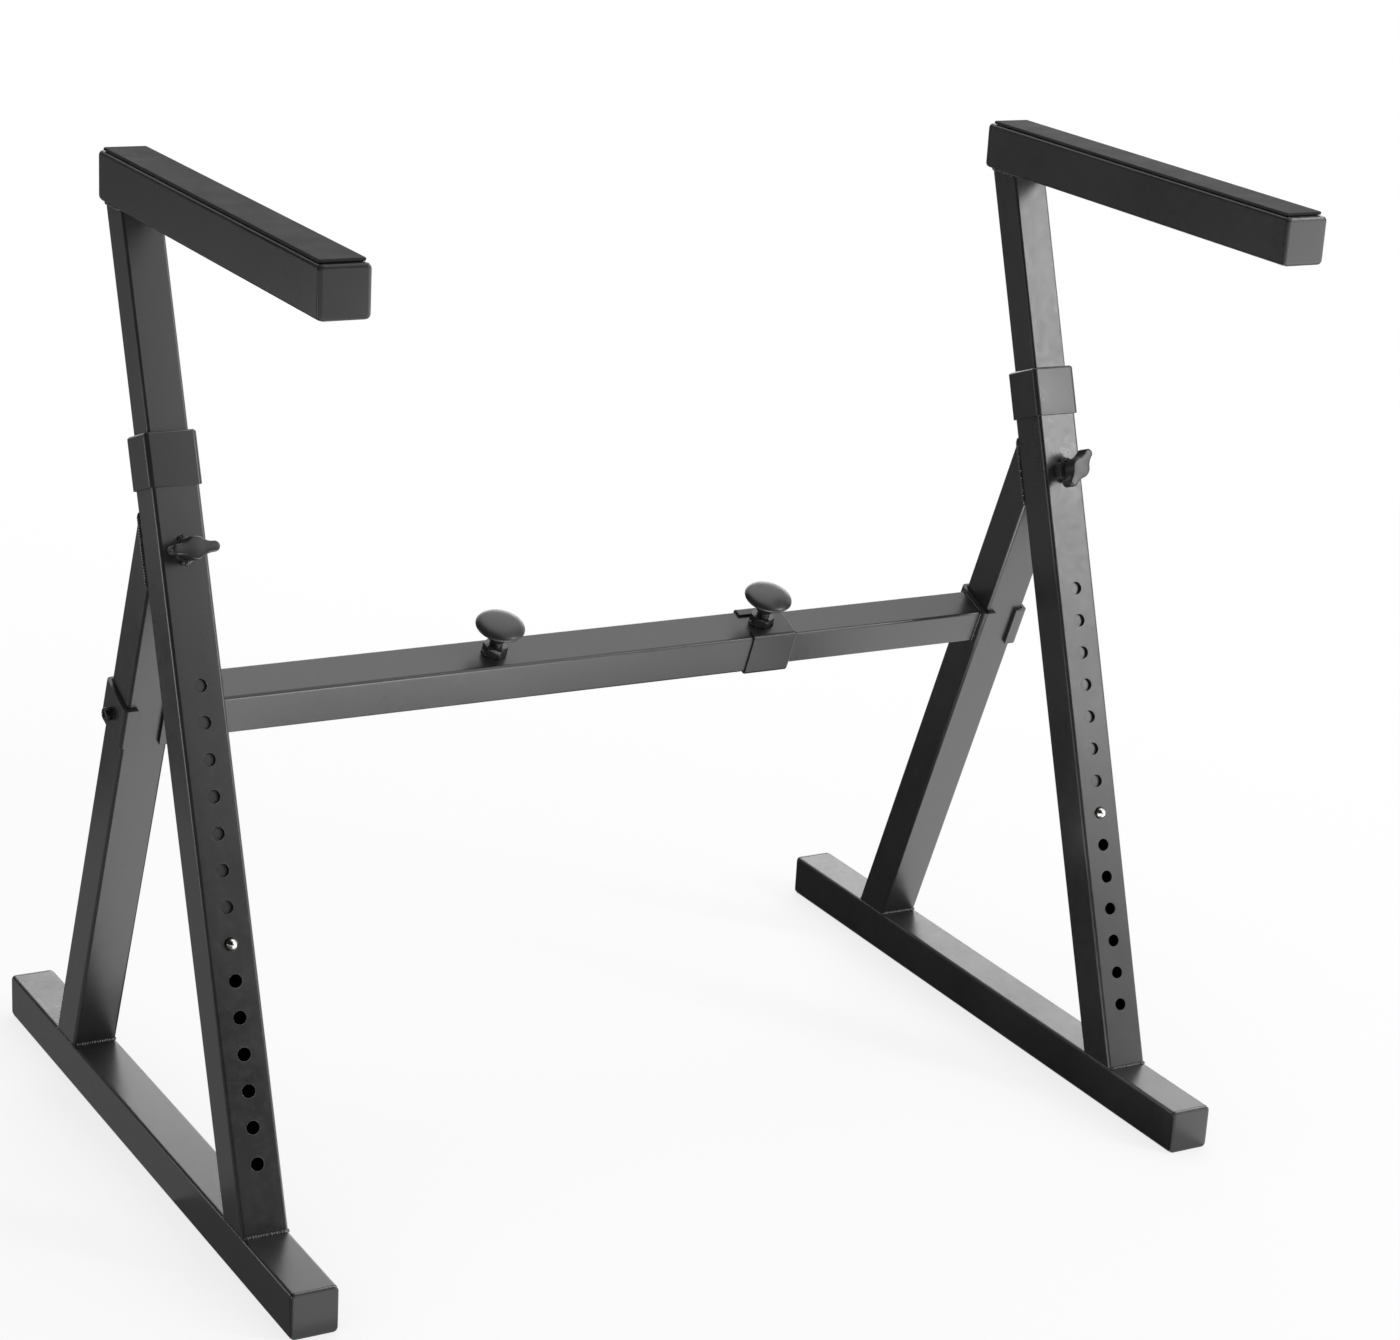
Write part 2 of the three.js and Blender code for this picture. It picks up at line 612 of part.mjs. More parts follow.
function sideFrame(side, outboard, wingTurn) {
  const x = outboard * SPACING / 2;
  const base = frame(stand, x, 0, 0, 0);
  add(base, `${side}_foot_tube`, footTube(), coated);
  endCaps(base, `${side}_foot`, footFront + CAP_FLANGE, footRear - CAP_FLANGE, half);

  const leg = frame(base, 0, 0, TUBE, -legLean);
  add(leg, `${side}_front_leg`, frontLeg(), coated);
  const legTop = frame(leg, 0, half, LEG_LENGTH + SEAT_GAP + COLLAR_LIP, 0);
  add(legTop, `${side}_leg_collar`, collar(LEG_COLLAR_LENGTH), plastic);
  add(leg, `${side}_post`, post(), coated);
  add(leg, `${side}_button_spring`, buttonSpring(), zinc);
  add(onFrontFace(leg, buttonUp), `${side}_snap_button`, snapButton(), nickel);
  const wing = onFrontFace(leg, wingUp);
  add(wing, `${side}_leg_nut`, weldNut(), coated);
  add(wing, `${side}_wing_screw`, clampScrew(WING_NECK_LIFT + WING_BORE_DEPTH), blackened);
  const grip = add(wing, `${side}_wing_knob`, wingKnob(), plastic);
  grip.rotation.z = THREE.MathUtils.degToRad(wingTurn);

  const brace = frame(base, 0, braceSpan, TUBE, braceLean);
  add(brace, `${side}_rear_brace`, rearBrace(), coated);
  const clamp = frame(brace, 0, half, BAR_UP, 0);
  clamp.rotation.z = outboard > 0 ? 0 : Math.PI;
  add(clamp, `${side}_clamp_plate`, bracePlate(), coated);
  add(clamp, `${side}_clamp_bolt`, clampBolt(), blackened);
  add(clamp, `${side}_clamp_nut`, clampNut(), zinc);
  const saddle = add(clamp, `${side}_saddle`, bracePlate(), coated);
  saddle.rotation.z = Math.PI;

  add(base, `${side}_arm`, arm(), coated);
  endCaps(base, `${side}_arm`, armFront + CAP_FLANGE, armRear - CAP_FLANGE, armUnderside + half);
  add(base, `${side}_arm_pad`, armPad(), rubber);
}

// The crossbar's frame: x runs along the bar, z up the braces, y back.
function crossbar() {
  const brace = frame(stand, 0, braceSpan, TUBE, braceLean);
  const bar = frame(brace, 0, half, BAR_UP, 0);

  const drill = (x) => screwHole(-2 * TUBE_WALL, 2 * TUBE_WALL).translate([x, 0, half]);
  const outer = squareTube(TUBE, TUBE_WALL, TUBE_CORNER, BAR_OUTER_LENGTH).rotateY(Math.PI / 2);
  const outerTube = cut(toSolid(outer.translate(barLeftEnd, 0, 0)), drill(leftKnobX), drill(rightKnobX));
  add(bar, 'crossbar_outer_tube', outerTube, coated);

  const inner = squareTube(SLIDER, SLIDER_WALL, SLIDER_CORNER, BAR_INNER_LENGTH).rotateY(Math.PI / 2);
  add(bar, 'crossbar_inner_tube', inner.translate(barRightEnd - BAR_INNER_LENGTH, 0, 0), coated);

  // the collar's top is notched from its left end, so that it can be pushed on past the nut
  const end = outerEnd + SEAT_GAP + COLLAR_LIP;
  const sleeve = toGeometry(collar(BAR_COLLAR_LENGTH)).rotateY(Math.PI / 2).translate(end, 0, 0);
  const width = 2 * (nutCorner + SEAT_GAP);
  const notchRound = pin(width, half - TUBE_WALL, TUBE).translate(rightKnobX, 0, 0);
  const notchRun = new THREE.BoxGeometry(BAR_COLLAR_LENGTH, width, TUBE);
  notchRun.translate(rightKnobX - BAR_COLLAR_LENGTH / 2, 0, TUBE);
  const notched = cut(toSolid(sleeve), toSolid(notchRound), toSolid(notchRun));
  add(bar, 'crossbar_collar', notched, plastic);

  for (const [side, x] of [['left', leftKnobX], ['right', rightKnobX]]) {
    const seat = frame(bar, x, 0, half, 0);
    add(seat, `crossbar_${side}_nut`, weldNut(), coated);
    add(seat, `crossbar_${side}_screw`, clampScrew(HEAD_NECK_LIFT + HEAD_BORE_DEPTH), blackened);
    add(seat, `crossbar_${side}_knob`, mushroomKnob(), plastic);
  }
}

sideFrame('left', -1, LEFT_WING_TURN);
sideFrame('right', 1, RIGHT_WING_TURN);
crossbar();

export default stand;
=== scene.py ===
"""A Z-frame stand of square steel tube: finishes, welds, threads and moulded details.

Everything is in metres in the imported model's own frame: +X to the right, +Y to the back, +Z up
and the floor at z = 0.
"""

import json
import math
import random

import bmesh
import bpy
from mathutils import Matrix, Vector

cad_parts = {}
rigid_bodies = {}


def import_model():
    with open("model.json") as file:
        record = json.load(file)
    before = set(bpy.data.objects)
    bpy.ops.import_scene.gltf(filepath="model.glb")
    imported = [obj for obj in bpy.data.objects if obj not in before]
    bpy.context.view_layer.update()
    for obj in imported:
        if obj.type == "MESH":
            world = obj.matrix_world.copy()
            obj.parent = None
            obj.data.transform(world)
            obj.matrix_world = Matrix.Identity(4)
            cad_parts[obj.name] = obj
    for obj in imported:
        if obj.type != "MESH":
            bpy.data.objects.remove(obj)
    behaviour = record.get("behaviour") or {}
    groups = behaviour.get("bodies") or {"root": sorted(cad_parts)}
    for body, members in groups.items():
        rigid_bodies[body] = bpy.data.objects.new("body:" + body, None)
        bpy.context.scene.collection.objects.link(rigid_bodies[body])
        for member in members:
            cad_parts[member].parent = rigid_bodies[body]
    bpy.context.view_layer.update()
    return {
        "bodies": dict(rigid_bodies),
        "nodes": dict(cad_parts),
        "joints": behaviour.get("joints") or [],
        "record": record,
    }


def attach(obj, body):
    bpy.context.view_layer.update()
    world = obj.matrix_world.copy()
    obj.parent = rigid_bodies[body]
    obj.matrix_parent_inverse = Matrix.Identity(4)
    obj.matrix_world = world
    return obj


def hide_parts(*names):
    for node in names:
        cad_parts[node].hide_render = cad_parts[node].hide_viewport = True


MM = 0.001
SIDES = {"left": -1, "right": 1}

# ---------------------------------------------------------------- sizes, as in the stand's CAD source

TUBE = 35 * MM
SLIDER = 30 * MM
SEAT_GAP = 0.3 * MM
SPACING = 744 * MM
LEG_LEAN = math.radians(20)
BRACE_LEAN = math.radians(21)
LEG_FRONT_Y = -198.891 * MM  # of the leg's front face, on the foot
BRACE_FRONT_Y = 152.626 * MM
ARM_UNDERSIDE = 711.42 * MM
JOINT_UP = 513.3 * MM  # along the leg's rear face, to the brace's rear face

HOLE_DIAMETER = 10 * MM
HOLE_COUNT = 14
HOLE_PITCH = 26 * MM
FIRST_HOLE = 50.7 * MM  # from the foot, along the leg
HOLE_IN_USE = 6  # counted from the lowest, which is 0
TUBE_WALL = 1.5 * MM

WING_UP = 483.5 * MM  # from the foot to the wing screw, along the leg
BAR_UP = 323.2 * MM  # from the foot to the crossbar's middle, along the brace
BAR_END = 350.9 * MM  # from the middle to the crossbar's end
KNOB_X = {"left": -89.6 * MM, "right": 146.8 * MM}

SCREW_DIAMETER = 10 * MM
SCREW_LOW = -2.2 * MM  # its tip, from the tube's face
SCREW_POINT = 1 * MM  # chamfer at the tip
THREAD_PITCH = 1.5 * MM
THREAD_DEPTH = 0.55 * THREAD_PITCH
THREAD_GROOVE = 0.4  # half the groove's width, as a share of the pitch
NUT_FLATS = 17 * MM

WING_SPAN = 34.8 * MM
WING_HUB = 16.6 * MM
WING_TIP = 7.8 * MM
WING_ROOT = math.radians(52)  # from the wing's middle line to where a lobe meets the hub
WING_LIFT = 13.5 * MM
WING_DEPTH = 12.5 * MM
WING_EDGE = 1.6 * MM
WING_NECK = 13 * MM
WING_NECK_LIFT = 10.5 * MM
WING_TURN = {"left": 0, "right": math.radians(52)}

HEAD_DIAMETER = 38.5 * MM
HEAD_RIM = 26 * MM
HEAD_DOME = 6 * MM
HEAD_UNDERSIDE = 5 * MM
HEAD_NECK = 13.5 * MM
HEAD_NECK_LIFT = 13 * MM
KNOB_BORE = 10.6 * MM
KNOB_BORE_DEPTH = 11.3 * MM

BUTTON_DIAMETER = 8.5 * MM
BUTTON_PROUD = 5 * MM
BUTTON_FLANGE = 13 * MM
BUTTON_SEAT = -4.3 * MM  # the flange's front and back, from the leg's front face
BUTTON_BACK = -5.8 * MM
BUTTON_UP = FIRST_HOLE + HOLE_IN_USE * HOLE_PITCH

# ---------------------------------------------------------------- camera

CAMERA_PLACE = Vector((-1.21664, -2.22625, 1.18831))
CAMERA_HEADING = math.radians(31.844)
CAMERA_DIP = math.radians(20.079)
CAMERA_ROLL = math.radians(4.070)
PHOTO_WIDTH = 1400
PHOTO_HEIGHT = 1340
FOCAL_PIXELS = 3460.67
PHOTO_CENTRE = (800, 790)  # where the viewing axis meets the picture, in its pixels
SENSOR_WIDTH = 36


def add_camera():
    """The photograph's viewpoint, as fitted to the stand's edges."""
    forward = Vector((
        math.sin(CAMERA_HEADING) * math.cos(CAMERA_DIP),
        math.cos(CAMERA_HEADING) * math.cos(CAMERA_DIP),
        -math.sin(CAMERA_DIP),
    ))
    level = Vector((math.cos(CAMERA_HEADING), -math.sin(CAMERA_HEADING), 0))
    upright = level.cross(forward)
    right = level * math.cos(CAMERA_ROLL) + upright * math.sin(CAMERA_ROLL)
    up = upright * math.cos(CAMERA_ROLL) - level * math.sin(CAMERA_ROLL)
    turn = Matrix((right, up, -forward)).transposed()
    camera = bpy.data.objects.new("camera", bpy.data.cameras.new("camera"))
    camera.matrix_world = Matrix.Translation(CAMERA_PLACE) @ turn.to_4x4()
    camera.data.sensor_width = SENSOR_WIDTH
    camera.data.lens = FOCAL_PIXELS / PHOTO_WIDTH * SENSOR_WIDTH
    camera.data.shift_x = (PHOTO_WIDTH / 2 - PHOTO_CENTRE[0]) / PHOTO_WIDTH
    camera.data.shift_y = (PHOTO_CENTRE[1] - PHOTO_HEIGHT / 2) / PHOTO_WIDTH
    bpy.context.scene.collection.objects.link(camera)
    bpy.context.scene.camera = camera


# ---------------------------------------------------------------- materials


class Nodes:
    """A material's node tree, built a node at a time."""

    def __init__(self, name):
        self.material = bpy.data.materials.new(name)
        self.material.use_nodes = True
        self.tree = self.material.node_tree
        self.shader = self.tree.nodes["Principled BSDF"]
        self.place = self.add("ShaderNodeTexCoord").outputs["Object"]

    def add(self, kind, inputs=None, **settings):
        node = self.tree.nodes.new(kind)
        for key, value in settings.items():
            setattr(node, key, value)
        for key, value in (inputs or {}).items():
            self.put(node.inputs[key], value)
        return node

    def put(self, socket, value):
        if isinstance(value, bpy.types.NodeSocket):
            self.tree.links.new(value, socket)
        else:
            socket.default_value = value

    def noise(self, scale, detail=3, roughness=0.55):
        inputs = {"Vector": self.place, "Scale": scale, "Detail": detail, "Roughness": roughness}
        return self.add("ShaderNodeTexNoise", inputs).outputs["Fac"]

    def spread(self, value, low, high, start=0.3, end=0.7):
        """The value, from start..end to low..high."""
        inputs = {"Value": value, "From Min": start, "From Max": end, "To Min": low, "To Max": high}
        return self.add("ShaderNodeMapRange", inputs).outputs["Result"]

    def maths(self, operation, a, b):
        return self.add("ShaderNodeMath", {0: a, 1: b}, operation=operation).outputs[0]

    def blend(self, factor, a, b):
        node = self.add("ShaderNodeMix", data_type="RGBA")
        self.put(node.inputs[0], factor)
        self.put(node.inputs[6], a)
        self.put(node.inputs[7], b)
        return node.outputs[2]

    def edges(self, radius):
        """1 on sharp edges and 0 away from them."""
        rounded = self.add("ShaderNodeBevel", {"Radius": radius}, samples=4).outputs["Normal"]
        flat = self.add("ShaderNodeNewGeometry").outputs["Normal"]
        both = {0: rounded, 1: flat}
        dot = self.add("ShaderNodeVectorMath", both, operation="DOT_PRODUCT").outputs["Value"]
        return self.spread(self.maths("SUBTRACT", 1.0, dot), 0, 1, 0.02, 0.25)

    def rubbed_edges(self, radius, scale):
        """The sharp edges in patches, as handling rubs them."""
        patches = self.spread(self.noise(scale, 4), 0.1, 1.0, 0.42, 0.62)
        return self.maths("MULTIPLY", self.edges(radius), patches)

    def bump(self, height, depth, strength=1.0):
        inputs = {"Height": height, "Distance": depth, "Strength": strength}
        self.put(self.shader.inputs["Normal"], self.add("ShaderNodeBump", inputs).outputs["Normal"])

    def set(self, **values):
        for name, value in values.items():
            self.put(self.shader.inputs[name.replace("_", " ")], value)


def grey(level, warmth=0.0):
    return (level * (1 + warmth), level, level * (1 - warmth), 1)


RUBBED_SHARE = 0.3  # how far a rubbed edge goes to its paler colour


def powder_coat():
    """Satin black: faintly clouded, finely grained, and rubbed paler along its edges."""
    n = Nodes("powder_coat")
    clouds = n.noise(9, 4)
    fine = n.noise(160, 3)
    rubbed = n.rubbed_edges(1.2 * MM, 55)
    plain = n.blend(n.spread(clouds, 0, 1), grey(0.014), grey(0.021))
    speckled = n.blend(n.spread(fine, 0, 0.3, 0.5, 0.75), plain, grey(0.032))
    n.set(Base_Color=n.blend(n.maths("MULTIPLY", rubbed, RUBBED_SHARE), speckled, grey(0.10)))
    n.set(Roughness=n.maths("ADD", n.spread(clouds, 0.28, 0.34), n.spread(fine, -0.02, 0.03)))
    n.set(Specular_IOR_Level=0.75)
    n.bump(n.noise(400, 2), 0.03 * MM, 0.4)
    return n.material


def coated_metal(name, low, high, depth):
    """The coat where it has pooled, over a weld or round a nut: glossier and uneven.

    Its roughness goes from low to high, and its waves have the given depth.
    """
    n = Nodes(name)
    clouds = n.noise(120, 4)
    n.set(Base_Color=n.blend(n.spread(clouds, 0, 1), grey(0.014), grey(0.034)))
    n.set(Roughness=n.spread(clouds, low, high), Specular_IOR_Level=0.8)
    n.bump(n.noise(330, 3), depth, 1.0)
    return n.material


def moulded_plastic():
    """Black plastic with a fine grain, polished and paler where hands rub its edges."""
    n = Nodes("moulded_plastic")
    level = 0.018
    clouds = n.noise(30, 3)
    rubbed = n.rubbed_edges(0.8 * MM, 90)
    plain = n.blend(n.spread(clouds, 0, 1), grey(level * 0.85), grey(level * 1.2))
    n.set(Base_Color=n.blend(n.maths("MULTIPLY", rubbed, RUBBED_SHARE), plain, grey(level * 3.5)))
    polish = n.maths("MULTIPLY", rubbed, 0.08)
    n.set(Roughness=n.maths("SUBTRACT", n.spread(clouds, 0.27, 0.34), polish))
    n.set(Specular_IOR_Level=0.55)
    n.bump(n.noise(700, 2), 0.02 * MM, 0.5)
    return n.material


def rubber():
    """Dull black rubber, slightly warm, with a coarse grain and dust on its edges."""
    n = Nodes("rubber")
    clouds = n.noise(40, 4)
    dusty = n.rubbed_edges(1.0 * MM, 120)
    plain = n.blend(n.spread(clouds, 0, 1), grey(0.014, 0.04), grey(0.024, 0.04))
    n.set(Base_Color=n.blend(n.maths("MULTIPLY", dusty, RUBBED_SHARE), plain, grey(0.06)))
    n.set(Roughness=n.spread(clouds, 0.72, 0.85), Specular_IOR_Level=0.35)
    n.bump(n.noise(900, 4, 0.7), 0.08 * MM, 0.8)
    return n.material


def plated(name, level, warmth, rough):
    """Bright plating with dull spots, smudges and shinier edges."""
    n = Nodes(name)
    smudge = n.noise(140, 4)
    dull = n.maths("MULTIPLY", n.spread(n.noise(420, 3), 0, 1, 0.5, 0.7), 0.5)
    pale_edges = n.maths("MULTIPLY", n.edges(0.4 * MM), RUBBED_SHARE)
    shaded = n.blend(dull, grey(level, warmth), grey(level * 0.55, warmth))
    n.set(Base_Color=n.blend(pale_edges, shaded, grey(0.85)), Metallic=1.0)
    n.set(Roughness=n.spread(smudge, rough, rough + 0.15))
    n.bump(n.noise(2500, 2), 0.01 * MM, 0.5)
    return n.material


def black_oxide(name, reach, wear_and_highlight_level):
    """Blackened steel. Its edges turn paler over a reach, up to a given level: rubbed-through metal,
    and on the clamp bolts also a painted highlight round the head's rim.
    """
    n = Nodes(name)
    smudge = n.noise(200, 3)
    pale_edges = n.edges(reach)
    # pale edges: rubbed-through metal, and on the clamp bolts also a painted highlight
    n.set(Base_Color=n.blend(pale_edges, grey(0.035), grey(wear_and_highlight_level)), Metallic=0.8)
    n.set(Roughness=n.spread(smudge, 0.22, 0.38))
    n.bump(n.noise(1800, 2), 0.01 * MM, 0.5)
    return n.material


# ---------------------------------------------------------------- stage

WORLD_LEVEL = 0.7
FLOOR_LEVEL = 0.95
FLOOR_REACH = 30
SHADOW_REACH = (0.9, 2.2)  # distances over which the floor's shading fades to plain white
STUDIO_MIDDLE = Vector((0, 0, 0.35))


def either(tree, a, b):
    node = tree.nodes.new("ShaderNodeMath")
    node.operation = "MAXIMUM"
    tree.links.new(a, node.inputs[0])
    tree.links.new(b, node.inputs[1])
    return node.outputs[0]


def seen_or_mirrored(tree):
    """1 for rays from the camera and for rays from a reflection or through glass."""
    rays = tree.nodes.new("ShaderNodeLightPath")
    mirrored = either(tree, rays.outputs["Is Glossy Ray"], rays.outputs["Is Transmission Ray"])
    return either(tree, rays.outputs["Is Camera Ray"], mirrored)


def stage_object(name, bm, material):
    """An object that belongs to the studio and not to the stand."""
    mesh = bpy.data.meshes.new(name)
    bm.to_mesh(mesh)
    bm.free()
    mesh.materials.append(material)
    obj = bpy.data.objects.new(name, mesh)
    bpy.context.scene.collection.objects.link(obj)
    return obj


def add_floor():
    """White, with the stand's soft shadow near its middle."""
    n = Nodes("floor")
    clouds = n.noise(0.8, 2)
    n.set(Base_Color=n.blend(n.spread(clouds, 0, 1), grey(FLOOR_LEVEL), grey(FLOOR_LEVEL * 0.99)))
    n.set(Roughness=0.9, Specular_IOR_Level=0.0)
    away = n.add("ShaderNodeVectorMath", {0: n.place}, operation="LENGTH").outputs["Value"]
    faded = n.spread(away, 0.75, 1, *SHADOW_REACH)
    rays = n.add("ShaderNodeLightPath").outputs
    mirrored = n.maths("MAXIMUM", rays["Is Glossy Ray"], rays["Is Transmission Ray"])
    share = n.maths("MAXIMUM", mirrored, n.maths("MULTIPLY", rays["Is Camera Ray"], faded))
    white = n.add("ShaderNodeEmission", {"Color": grey(1), "Strength": 1.0}).outputs[0]
    mix = n.add("ShaderNodeMixShader", {0: share, 1: n.shader.outputs[0], 2: white})
    n.tree.links.new(mix.outputs[0], n.tree.nodes["Material Output"].inputs["Surface"])
    bm = bmesh.new()
    bmesh.ops.create_grid(bm, x_segments=1, y_segments=1, size=FLOOR_REACH)
    stage_object("floor", bm, n.material)


def add_world():
    """Even light all round, seen as plain white."""
    world = bpy.data.worlds.new("studio")
    world.use_nodes = True
    bpy.context.scene.world = world
    tree = world.node_tree
    lit = tree.nodes["Background"]
    lit.inputs["Color"].default_value = grey(1)
    lit.inputs["Strength"].default_value = WORLD_LEVEL
    white = tree.nodes.new("ShaderNodeBackground")
    white.inputs["Color"].default_value = grey(1)
    white.inputs["Strength"].default_value = 1
    mix = tree.nodes.new("ShaderNodeMixShader")
    tree.links.new(seen_or_mirrored(tree), mix.inputs[0])
    tree.links.new(lit.outputs[0], mix.inputs[1])
    tree.links.new(white.outputs[0], mix.inputs[2])
    tree.links.new(mix.outputs[0], tree.nodes["World Output"].inputs["Surface"])


def only_in_reflections(obj):
    obj.visible_camera = False
    obj.visible_diffuse = False
    obj.visible_transmission = False
    obj.visible_volume_scatter = False
    obj.visible_shadow = False


def board_face(level):
    """A plain face of an even brightness, from black to brighter than white paper."""
    n = Nodes("board")
    n.set(Base_Color=grey(0), Specular_IOR_Level=0.0)
    n.set(Emission_Color=grey(1), Emission_Strength=level)
    return n.material


BOARD_HEIGHT = 0.4 * MM  # just over the floor
BOARDS = {  # lowest x and y, highest x and y, brightness
    "front_board": ((-0.15, -0.8), (0.24, -0.2), 6.0),
    "front_right_board": ((0.3895, -0.8), (0.95, 0.15), 2.1),
    "far_board": ((1.12, -5.0), (4.5, -1.2), 4.2),
    "foot_board": ((-0.3895, -0.9), (-0.15, -0.303), 1.7),
    "left_board": ((-0.34, -0.22), (-0.15, 0.1), 2.1),
    "right_flag": ((0.24, -0.8), (0.3545, 0.1), 0.02),
    "foot_flag": ((0.1, -0.15), (0.24, 0.1), 0.02),
    "middle_flag": ((-0.33, 0.1), (0.3545, 4.0), 0.02),
    "left_front_flag": ((-4.0, -0.9), (-0.3895, -0.06), 0.12),
    "left_near_board": ((-0.85, -0.06), (-0.3895, 0.75), 0.28),
    "left_far_flag": ((-4.0, -0.06), (-0.85, 1.3), 0.06),
    "left_far_board": ((-4.0, 1.3), (-0.85, 4.0), 0.22),
    "left_back_flag": ((-0.85, 0.75), (-0.3895, 4.0), 0.06),
}
BAR_BOARD = ((-0.02, -0.12), (0.27, -0.02), 1.85)
BAR_BOARD_HEIGHT = 0.165  # between the floor and the crossbar


def add_board(name, place, height):
    """A level card with its place and brightness as in BOARDS."""
    low, high, level = place
    corners = [(low[0], low[1]), (high[0], low[1]), (high[0], high[1]), (low[0], high[1])]
    bm = bmesh.new()
    bm.faces.new([bm.verts.new((x, y, height)) for x, y in corners])
    only_in_reflections(stage_object(name, bm, board_face(level)))


def add_boards():
    """White and black cards that show only as reflections, to keep the tubes' faces apart."""
    for name, place in BOARDS.items():
        add_board(name, place, BOARD_HEIGHT)
    add_board("bar_board", BAR_BOARD, BAR_BOARD_HEIGHT)


RIM_CARD_RADIUS = 1.7
RIM_CARD_TURNS = (-131, -92)  # azimuths from -Y towards +X
RIM_CARD_STEPS = 12
RIM_CARD_FOOT = 1 * MM
RIM_CARD_HEIGHT = 0.34
RIM_CARD_LEVEL = 3.4


def add_rim_card():
    """A low white card on the left. Its reflection is a bright line along rounded corners."""
    start, end = RIM_CARD_TURNS
    edge = []
    for k in range(RIM_CARD_STEPS + 1):
        turn = math.radians(start + (end - start) * k / RIM_CARD_STEPS)
        edge.append((RIM_CARD_RADIUS * math.sin(turn), -RIM_CARD_RADIUS * math.cos(turn)))
    bm = bmesh.new()
    heights = (RIM_CARD_FOOT, RIM_CARD_HEIGHT)
    rings = [[bm.verts.new((x, y, height)) for x, y in edge] for height in heights]
    skin_rings(bm, rings, closed=False)
    only_in_reflections(stage_object("rim_card", bm, board_face(RIM_CARD_LEVEL)))


CURTAIN_RADIUS = 3.7
CURTAIN_TURNS = (-165, 10, 34)  # azimuths of its back edge, its step and its front edge
CURTAIN_TOPS = (80, 20)  # how high it stands before and after the step, in degrees
CURTAIN_BOTTOM = -4
CURTAIN_RISE = 4  # degrees from one row to the next
CURTAIN_COLUMNS = 16
CURTAIN_LEVEL = 0.01


def outward(turn, height):
    """The direction at an azimuth from -Y towards +X and a height, in degrees."""
    turn = math.radians(turn)
    height = math.radians(height)
    level = math.cos(height)
    return Vector((math.sin(turn) * level, -math.cos(turn) * level, math.sin(height)))


def add_curtain():
    """A curved black cloth round the left side, also only in reflections."""
    bm = bmesh.new()
    back, step, front = CURTAIN_TURNS
    tall, low = CURTAIN_TOPS
    for start, end, top in ((back, step, tall), (step, front, low)):
        turns = [start + (end - start) * k / CURTAIN_COLUMNS for k in range(CURTAIN_COLUMNS + 1)]
        rings = []
        for height in range(CURTAIN_BOTTOM, top + 1, CURTAIN_RISE):
            ring = [STUDIO_MIDDLE + outward(turn, height) * CURTAIN_RADIUS for turn in turns]
            rings.append([bm.verts.new(point) for point in ring])
        skin_rings(bm, rings, closed=False)
    only_in_reflections(stage_object("curtain", bm, board_face(CURTAIN_LEVEL)))


SOFTBOX_DISTANCE = 3.2


def add_softbox(name, turn, height, size, brightness):
    """A lamp at an azimuth from -Y towards +X and a height, in degrees, facing the stand."""
    out = outward(turn, height)
    lamp = bpy.data.lights.new(name, "AREA")
    lamp.shape = "RECTANGLE"
    lamp.size, lamp.size_y = size
    lamp.energy = brightness * math.pi * size[0] * size[1]
    obj = bpy.data.objects.new(name, lamp)
    obj.location = STUDIO_MIDDLE + out * SOFTBOX_DISTANCE
    obj.rotation_euler = (-out).to_track_quat("-Z", "Y").to_euler()
    obj.visible_camera = False
    bpy.context.scene.collection.objects.link(obj)


def add_lights():
    add_softbox("key_strip", 42.3, 23.8, (0.4, 1.4), 13.6)
    add_softbox("front_fill", 22, 24, (0.7, 0.7), 1.5)
    add_softbox("back_strip", 147.5, 15.7, (3.0, 0.5), 4.1)
    add_softbox("overhead", 142, 65, (2.5, 2.5), 0.8)


# ---------------------------------------------------------------- frames of the leaning tubes


def leg_frame(side):
    """z runs up the leg, y back from its front face, and the origin is on the foot."""
    place = Matrix.Translation((SIDES[side] * SPACING / 2, LEG_FRONT_Y, TUBE))
    return place @ Matrix.Rotation(-LEG_LEAN, 4, "X")


def bar_frame(x=0.0):
    """x runs along the crossbar from its middle, z up along the braces and y back."""
    place = Matrix.Translation((x, BRACE_FRONT_Y, TUBE))
    return place @ Matrix.Rotation(BRACE_LEAN, 4, "X") @ Matrix.Translation((0, TUBE / 2, BAR_UP))


def leg_face_frame(side, up):
    """z stands out of the leg's front face, at a place up the leg."""
    return leg_frame(side) @ Matrix.Translation((0, 0, up)) @ Matrix.Rotation(math.pi / 2, 4, "X")


def wing_frame(side):
    """x runs along the wing at no turn."""
    return leg_face_frame(side, WING_UP)


def knob_frame(side):
    """z stands out of the crossbar's top face."""
    return bar_frame(KNOB_X[side]) @ Matrix.Translation((0, 0, TUBE / 2))


# ---------------------------------------------------------------- shapes

HERE = Matrix.Identity(4)


def finish_piece(name, bm, place, material, body, replaced=None):
    """Makes a piece of the mesh, in a frame's place, that rides on a body."""
    bmesh.ops.recalc_face_normals(bm, faces=bm.faces)
    mesh = bpy.data.meshes.new(name)
    bm.to_mesh(mesh)
    bm.free()
    mesh.transform(place)
    mesh.shade_smooth()
    mesh.materials.append(material)
    piece = bpy.data.objects.new(name, mesh)
    bpy.context.scene.collection.objects.link(piece)
    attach(piece, body)
    if replaced:
        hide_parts(replaced)


def skin_rings(bm, rings, closed=True):
    """Faces between successive rings of vertices. A closed skin has both its ends covered."""
    count = len(rings[0])
    for low, high in zip(rings, rings[1:]):
        for i in range(count if closed else count - 1):
            j = (i + 1) % count
            bm.faces.new((low[i], low[j], high[j], high[i]))
    if closed:
        bm.faces.new(list(reversed(rings[0])))
        bm.faces.new(rings[-1])


